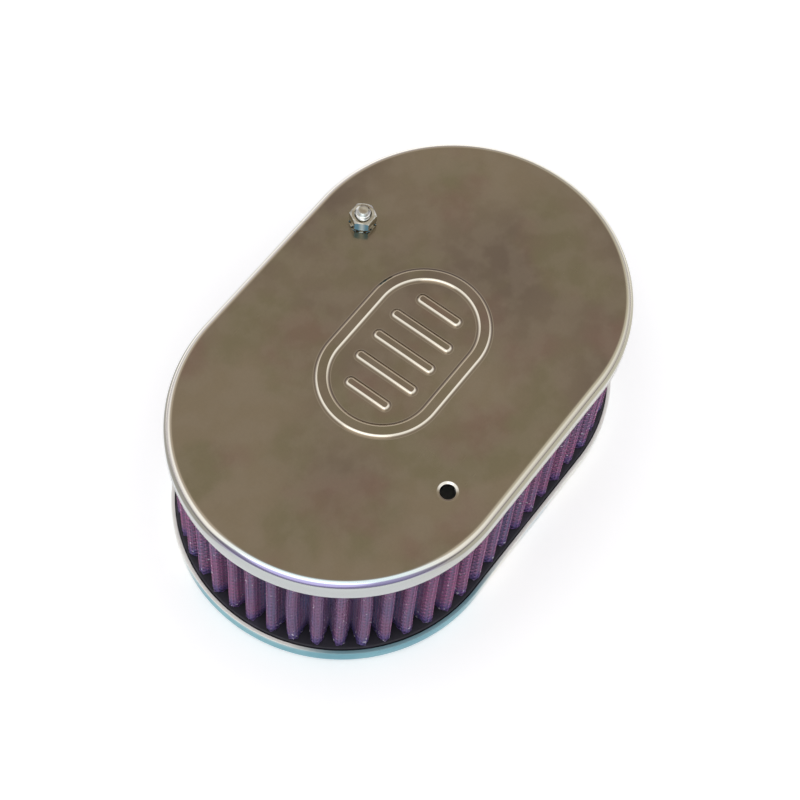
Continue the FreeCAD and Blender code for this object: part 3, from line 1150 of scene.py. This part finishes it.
def lid_material():
    """Painted reflections and highlights: the brown room where the lid is flat, and the rim's, the lips' or
    the pressing's painted tones where it turns.
    """
    material, tree, shader = new_material("bright_plated_lid")
    position, x, y, height = object_parts(tree)
    add_metal(tree, shader, position, gloss=0.12, smudge=0.07, scratch=0.5, bump=0.2)
    level = surface_level(tree)
    frontal = facing(tree, (*front, 0))
    lip = mix_colour(tree, map_range(tree, frontal, *lip_lit), lip_shade, lip_light)
    turned_tone = mix_colour(tree, near_a_hole(tree, position), painted_rim_reflections(tree, x, y, level), lip)
    crest = mix_colour(tree, map_range(tree, frontal, *crest_lit), crest_shade, crest_light)
    pressed_tone = mix_colour(tree, above_lid(tree, height, crest_heights), shaded_flank_foot, crest)
    turned_tone = mix_colour(tree, above_lid(tree, height, raised_heights), turned_tone, pressed_tone)
    is_flat = map_range(tree, level, *flat_levels)
    tone = mix_colour(tree, is_flat, turned_tone, lid_top_reflection(tree, position))
    tree.links.new(tone, shader.inputs["Base Color"])
    return material


dress(lid, lid_material())

# %% [markdown]
# Blue passivated zinc has a blue cast of its own. Here one end of the oval, the one that faces the front, is
# painted teal and the rest pale: partly that cast and partly a painted reflection. An image could show that,
# but two clouded tones and a soft border between them stay sharp at any distance. The rounded upper edge is
# painted brighter, a painted highlight, and it shows as the pale line round the rubber.

# %% The base plate's finish
zinc_clouds = Clouds(30, 4, 0.38, 0.66)
# Teal on the end that faces the front and pale elsewhere: the zinc's blue cast, and partly a painted
# reflection.
teal, pale_teal = colour(98, 156, 171), colour(128, 178, 188)
cream, cool_cream = colour(226, 226, 219), colour(204, 213, 216)
border_scale, border_drift = 14, 0.03
teal_reach = (0.036, 0.052)
teal_edge_way, teal_edge_reach = (-0.471, -0.884), (0.055, 0.066)
# The upper edge's tones are a painted highlight, cream and, towards one end, teal.
edge_highlight_cream, edge_highlight_teal = colour(252, 250, 242), colour(128, 164, 172)
edge_levels, edge_dullness = (0.04, 0.3), 0.9


def base_material():
    """Teal at the front end and cream elsewhere, with clouds in both, and a painted highlight on the upper
    edge.
    """
    material, tree, shader = new_material("blue_zinc_plate")
    position, x, y, _ = object_parts(tree)
    add_metal(tree, shader, position, gloss=0.24, smudge=0.12, scratch=0.6, bump=0.35)
    clouds = cloud_mask(tree, position, zinc_clouds)
    blue = mix_colour(tree, clouds, teal, pale_teal)
    pale = mix_colour(tree, clouds, cream, cool_cream)
    drift = times(tree, noise(tree, position, border_scale, plain), border_drift)
    in_teal = reach_towards(tree, math_node(tree, "ADD", x, drift), y, front, *teal_reach)
    edge_in_teal = reach_towards(tree, x, y, teal_edge_way, *teal_edge_reach)
    edge = mix_colour(tree, edge_in_teal, edge_highlight_cream, edge_highlight_teal)
    up = map_range(tree, surface_level(tree), *edge_levels)
    tone = mix_colour(tree, up, mix_colour(tree, in_teal, pale, blue), edge)
    tree.links.new(tone, shader.inputs["Base Color"])
    tree.links.new(less(tree, 1, times(tree, up, edge_dullness)), shader.inputs["Metallic"])
    return material


dress(base, base_material())

# %% [markdown]
# The stud, nut, washer and clinch nuts are bright zinc. Small bright parts mirror their whole room at once,
# so they look streaked: brown on top, blue in front and cream at the sides. A plain mirror would need the
# room itself. Painting the streaks on the plating keeps them in every light.

# %% The fasteners' finish
fastener_clouds = Clouds(300, 4, 0.40, 0.62)
fastener_streaks = Clouds(420, 2, 0.50, 0.60, (0.5, 0.5, 2.2))
# Painted reflections of the room, and the glare's painted highlight in front.
side_cream, side_brown, streak_white = colour(214, 214, 206), colour(150, 146, 132), colour(250, 250, 246)
glare_blue, glare_middle = colour(116, 172, 200), colour(226, 248, 255)
top_brown, top_cream = colour(150, 138, 118), colour(186, 178, 160)
glare_facing, glare_half_width = (0.55, 0.95), (-0.0001, 0.0015)
glare_dullness = 0.7
fastener_top_levels = (0.8, 0.98)


def fastener_material():
    """Painted reflections: brown tops, streaked sides, and a blue front whose middle strip is a nearly white
    painted highlight.
    """
    material, tree, shader = new_material("bright_zinc_fasteners")
    position, x, y, _ = object_parts(tree)
    add_metal(tree, shader, position, gloss=0.08, smudge=0.1, scratch=0.6, bump=0.35)
    clouds = cloud_mask(tree, position, fastener_clouds)
    sides = mix_colour(tree, clouds, side_cream, side_brown)
    sides = mix_colour(tree, cloud_mask(tree, position, fastener_streaks), sides, streak_white)
    off_axis = [less(tree, axis, middle * MM) for axis, middle in zip((x, y), stud_place)]
    both_ways = [reach_towards(tree, *off_axis, way, *glare_half_width) for way in (right, left)]
    middle_strip = less(tree, 1, math_node(tree, "MAXIMUM", *both_ways))
    glare = mix_colour(tree, middle_strip, glare_blue, glare_middle)
    in_front = map_range(tree, facing(tree, (*front, 0)), *glare_facing)
    up = map_range(tree, surface_level(tree), *fastener_top_levels)
    tops = mix_colour(tree, clouds, top_brown, top_cream)
    tone = mix_colour(tree, up, mix_colour(tree, in_front, sides, glare), tops)
    tree.links.new(tone, shader.inputs["Base Color"])
    tree.links.new(less(tree, 1, times(tree, in_front, glare_dullness)), shader.inputs["Metallic"])
    return material


fastener_zinc = fastener_material()
clinch_nuts = [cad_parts[name] for name in ("clinch_nut_stud", "clinch_nut_open")]
for piece in clinch_nuts + [stud, nut, washer]:
    dress(piece, fastener_zinc)

# %% [markdown]
# The end caps are cast in soft rubber: nearly black, with a violet cast from the oil, a dull shine that
# changes from place to place, and a fine grain from the mould. Noise at three scales gives all of them. One
# flat black would look like a hole.

# %% The rubber's finish
rubber_dust = Clouds(120, 5, 0.50, 0.75)
rubber_black, rubber_violet = colour(32, 30, 40), colour(52, 47, 62)
rubber_shine_scale, rubber_shine_range, rubber_roughness = 300, (0.3, 0.7), (0.45, 0.7)
rubber_grain_scale, rubber_grain_depth, rubber_grain_strength = 1500, 0.05, 0.3


def rubber_material():
    """Two blacks in clouds, a roughness that wanders, and a fine grain as a bump."""
    material, tree, shader = new_material("end_cap_rubber")
    position = object_parts(tree)[0]
    tone = mix_colour(tree, cloud_mask(tree, position, rubber_dust), rubber_black, rubber_violet)
    tree.links.new(tone, shader.inputs["Base Color"])
    shine = noise(tree, position, rubber_shine_scale, fine)
    rough = map_range(tree, shine, *rubber_shine_range, *rubber_roughness)
    tree.links.new(rough, shader.inputs["Roughness"])
    grain = noise(tree, position, rubber_grain_scale, fine)
    add_bump(tree, shader, grain, rubber_grain_depth, rubber_grain_strength)
    return material


rubber = rubber_material()
dress(bottom_seal, rubber)
dress(top_seal, rubber)

# %% [markdown]
# The oiled cotton gauze is violet in blotches. It is painted darker on the crowns and lighter in the valleys,
# where the lighter tone is painted light against the valleys' deep shade, and darker and bluer towards the
# foot. The crown share that was stored on the mesh places the first two, and the height the third. The
# weave's ribs are a bump on the piece's own UV map, so they follow every fold, which Object coordinates
# wouldn't.

# %% The gauze's finish
gauze_blotches = Clouds(160, 4, 0.35, 0.65, (1, 1, 0.3))
crown_violet, crown_blue = colour(120, 92, 122), colour(104, 96, 126)
# The valley tones are painted lighter than the crowns', painted light against the shade in the valleys.
valley_lightened_violet, valley_lightened_blue = colour(176, 162, 200), colour(158, 164, 206)
gauze_crown_range, gauze_roughness = (0.1, 0.95), 0.7
# Darker and bluer towards the foot of the pack.
darkening_start, darkening_end, darkening_strength = 0.001, 0.008, 0.65
foot_gauze_tone = colour(84, 80, 140)
weave_scale, weave_depth, weave_strength = 0.8, 0.15, 0.6


def foot_darkening(tree, height):
    """How much darker and bluer a height of the pack is: most near the foot, none from the end of that band
    up.
    """
    foot = media_low[2] * MM
    return map_range(tree, height, foot + darkening_start, foot + darkening_end, darkening_strength, 0.0)


def cotton_material():
    """Crown and valley tones in blotches, the valleys painted lighter against their shade, darker and bluer
    at the foot, and the weave's ribs as a bump.
    """
    material, tree, shader = new_material("oiled_cotton_gauze")
    position, _, _, height = object_parts(tree)
    blotch = cloud_mask(tree, position, gauze_blotches)
    crown_tone = mix_colour(tree, blotch, crown_violet, crown_blue)
    valley_tone = mix_colour(tree, blotch, valley_lightened_violet, valley_lightened_blue)
    crown = map_range(tree, stored_value(tree, "crown"), *gauze_crown_range)
    tone = mix_colour(tree, crown, valley_tone, crown_tone)
    tone = mix_colour(tree, foot_darkening(tree, height), tone, foot_gauze_tone)
    tree.links.new(tone, shader.inputs["Base Color"])
    shader.inputs["Roughness"].default_value = gauze_roughness
    uv = tree.nodes.new("ShaderNodeUVMap")
    uv.uv_map = "pack"
    weave = tree.nodes.new("ShaderNodeTexWave")
    weave.wave_type = "BANDS"
    weave.bands_direction = "X"
    weave.inputs["Scale"].default_value = weave_scale
    tree.links.new(uv.outputs["UV"], weave.inputs["Vector"])
    add_bump(tree, shader, weave.outputs["Fac"], weave_depth, weave_strength)
    return material


dress(gauze, cotton_material())

# %% [markdown]
# The screens are thin aluminium wires that the oil has tinted too. Their tops are painted paler at every
# crossing, a painted highlight, and a few painted glints show as white spots. Both come from values on the
# mesh and from noise, because a wire is too thin for a pattern that is laid over the whole screen to hit it
# in the right place. Like the gauze's, their valley tones are painted lighter against the shade there, they
# are darker towards the foot, and the upright wires are painted darker than the level ones, a painted shade.

# %% The wires' finish
wire_patches = Clouds(200, 3, 0.38, 0.62, (1, 1, 0.25))
wire_stains = Clouds(36, 3, 0.42, 0.60)
wire_magenta, wire_violet, stain_magenta = colour(148, 108, 144), colour(122, 110, 152), colour(178, 86, 134)
# The deep tones are painted lighter, painted light against the shade in the pleats' valleys.
deep_lightened_violet, deep_lightened_blue = colour(178, 168, 206), colour(164, 172, 212)
wire_shade_tone, foot_wire_tone = colour(70, 56, 92), colour(88, 84, 156)
# The crossing tops' pale tone is a painted highlight.
crossing_highlight_tone, glint_tone = colour(206, 138, 182), colour(240, 234, 246)
wire_crown_range, on_top_range = (0.15, 0.9), (0.0, 0.9)
stain_strength, crossing_highlight_strength, crossing_highlight_less_in_front = 0.7, 0.75, 0.4
# Painted glints: white spots from noise, a few more near the foot.
glint_scale, glints_at_foot, glint_levels = 700, 0.1, (0.675, 0.72)
wire_metallic, wire_roughness = 0.6, 0.35
# The upright wires are painted darker than the level ones, a painted shade.
upright_painted_shade, level_painted_shade = 0.45, 0.0


def wire_material(name, painted_shade):
    """Metal with magenta and violet patches and painted glints, darker by its share of painted shade."""
    material, tree, shader = new_material(name)
    position, x, y, height = object_parts(tree)
    ahead = reach_towards(tree, x, y, front, *front_end)
    patches = cloud_mask(tree, position, wire_patches)
    stained = times(tree, cloud_mask(tree, position, wire_stains), less(tree, 1, ahead))
    warm = mix_colour(tree, patches, wire_magenta, wire_violet)
    warm = mix_colour(tree, times(tree, stained, stain_strength), warm, stain_magenta)
    deep = mix_colour(tree, patches, deep_lightened_violet, deep_lightened_blue)
    crown = map_range(tree, stored_value(tree, "crown"), *wire_crown_range)
    tone = mix_colour(tree, painted_shade, mix_colour(tree, crown, deep, warm), wire_shade_tone)
    crossing_highlight = map_range(tree, stored_value(tree, "on_top"), *on_top_range)
    crossing_highlight_share = less(tree, crossing_highlight_strength, times(tree, ahead, crossing_highlight_less_in_front))
    tone = mix_colour(tree, times(tree, crossing_highlight, crossing_highlight_share), tone, crossing_highlight_tone)
    at_foot = foot_darkening(tree, height)
    tone = mix_colour(tree, at_foot, tone, foot_wire_tone)
    glints = noise(tree, position, glint_scale, plain)
    glints = math_node(tree, "ADD", glints, times(tree, at_foot, glints_at_foot))
    tone = mix_colour(tree, map_range(tree, glints, *glint_levels), tone, glint_tone)
    tree.links.new(tone, shader.inputs["Base Color"])
    shader.inputs["Metallic"].default_value = wire_metallic
    shader.inputs["Roughness"].default_value = wire_roughness
    return material


upright_wire = wire_material("shaded_upright_wire", upright_painted_shade)
level_wire = wire_material("oiled_level_wire", level_painted_shade)
for piece in screens:
    dress(piece, upright_wire if "upright" in piece.name else level_wire)

# %% [markdown]
# The camera stands above one round end, with a long lens. A long lens keeps the far end of the oval nearly as
# large as the near one. Its place comes from fitting both rims and the two stud holes.

# %% Camera
camera_place = Vector((-0.27276, -0.16574, 0.65066))
camera_target = Vector((-0.01461, -0.00934, 0.064))
camera_roll = math.radians(6.24)
focal_px, frame_px, sensor_mm = 2085.0, 800, 36.0


def make_camera():
    """Lens = focal length in pixels over the frame's width in pixels times the sensor's width."""
    data = bpy.data.cameras.new("photo_camera")
    data.sensor_width = sensor_mm
    data.lens = focal_px / frame_px * sensor_mm
    camera = bpy.data.objects.new("photo_camera", data)
    bpy.context.scene.collection.objects.link(camera)
    look = (camera_target - camera_place).to_track_quat("-Z", "Y").to_matrix()
    turn = look @ Matrix.Rotation(camera_roll, 3, "Z")
    camera.matrix_world = Matrix.Translation(camera_place) @ turn.to_4x4()
    bpy.context.scene.camera = camera
    print(f"lens {data.lens:.1f} mm, {(camera_target - camera_place).length:.2f} m from the lid")


make_camera()

# %% [markdown]
# The light is a soft white room whose walls are a little dimmer than its ceiling, so that a bent metal rim
# shows a darker line where it mirrors the walls. One wide lamp gives the bright metal a highlight to catch.
# More lamps would light the pleats' gaps, which stay dark on the real one.

# %% Light
room_strength = 0.9
wall, ceiling = (0.56, 0.54, 0.60, 1), (1, 1, 1, 1)
wall_top, ceiling_start = 0.12, 0.6
lamp_place, lamp_target = Vector((-0.9, -0.3, 0.9)), Vector((0, 0, 0.05))
lamp_size, lamp_power = 1.2, 2.5


def make_world():
    """The room's tone by the height of each direction: the wall up to its top, then up to the ceiling."""
    world = bpy.data.worlds.new("white_room")
    bpy.context.scene.world = world
    world.use_nodes = True
    tree = world.node_tree
    background = next(n for n in tree.nodes if n.type == "BACKGROUND")
    split = tree.nodes.new("ShaderNodeSeparateXYZ")
    tree.links.new(tree.nodes.new("ShaderNodeTexCoord").outputs["Generated"], split.inputs[0])
    room = ramp(tree, split.outputs["Z"], [(0.0, wall), (wall_top, wall), (ceiling_start, ceiling)])
    tree.links.new(room, background.inputs["Color"])
    background.inputs["Strength"].default_value = room_strength


def make_lamp():
    """A round lamp that looks from its place to its target."""
    data = bpy.data.lights.new("key", "AREA")
    data.shape = "DISK"
    data.size = lamp_size
    data.energy = lamp_power
    lamp = bpy.data.objects.new("key", data)
    bpy.context.scene.collection.objects.link(lamp)
    look = (lamp_target - lamp_place).to_track_quat("-Z", "Y").to_matrix()
    lamp.matrix_world = Matrix.Translation(lamp_place) @ look.to_4x4()


make_world()
make_lamp()
bpy.context.scene.view_settings.view_transform = "Standard"
print(f"room {room_strength} bright, lamp {lamp_power} W")

# %% [markdown]
# The floor is white card. A plain white one would render a little grey, so it glows faintly for the camera
# and in the metal, but not on the object, and it keeps a faint shadow. From below it isn't there.

# %% Floor
floor_size, floor_glow = 24.0, 0.29
card_white, card_roughness = (0.95, 0.95, 0.95, 1), 0.9


def card_material():
    """White card whose glow only direct, mirrored and refracted rays see, and clear from its back."""
    material, tree, shader = new_material("white_card")
    shader.inputs["Base Color"].default_value = card_white
    shader.inputs["Roughness"].default_value = card_roughness
    shader.inputs["Specular IOR Level"].default_value = 0.0
    shader.inputs["Emission Color"].default_value = (1, 1, 1, 1)
    paths = tree.nodes.new("ShaderNodeLightPath")
    seen = math_node(tree, "MAXIMUM", paths.outputs["Is Camera Ray"], paths.outputs["Is Glossy Ray"])
    seen = math_node(tree, "MAXIMUM", seen, paths.outputs["Is Transmission Ray"])
    tree.links.new(times(tree, seen, floor_glow), shader.inputs["Emission Strength"])
    below = tree.nodes.new("ShaderNodeMixShader")
    tree.links.new(tree.nodes.new("ShaderNodeNewGeometry").outputs["Backfacing"], below.inputs[0])
    tree.links.new(shader.outputs[0], below.inputs[1])
    tree.links.new(tree.nodes.new("ShaderNodeBsdfTransparent").outputs[0], below.inputs[2])
    output = next(n for n in tree.nodes if n.type == "OUTPUT_MATERIAL")
    tree.links.new(below.outputs[0], output.inputs["Surface"])
    return material


def make_floor():
    """One square under the object."""
    half = floor_size / 2
    corners = [(-half, -half, 0), (half, -half, 0), (half, half, 0), (-half, half, 0)]
    mesh = bpy.data.meshes.new("floor")
    mesh.from_pydata(corners, [], [(0, 1, 2, 3)])
    floor = bpy.data.objects.new("floor", mesh)
    bpy.context.scene.collection.objects.link(floor)
    dress(floor, card_material())


make_floor()
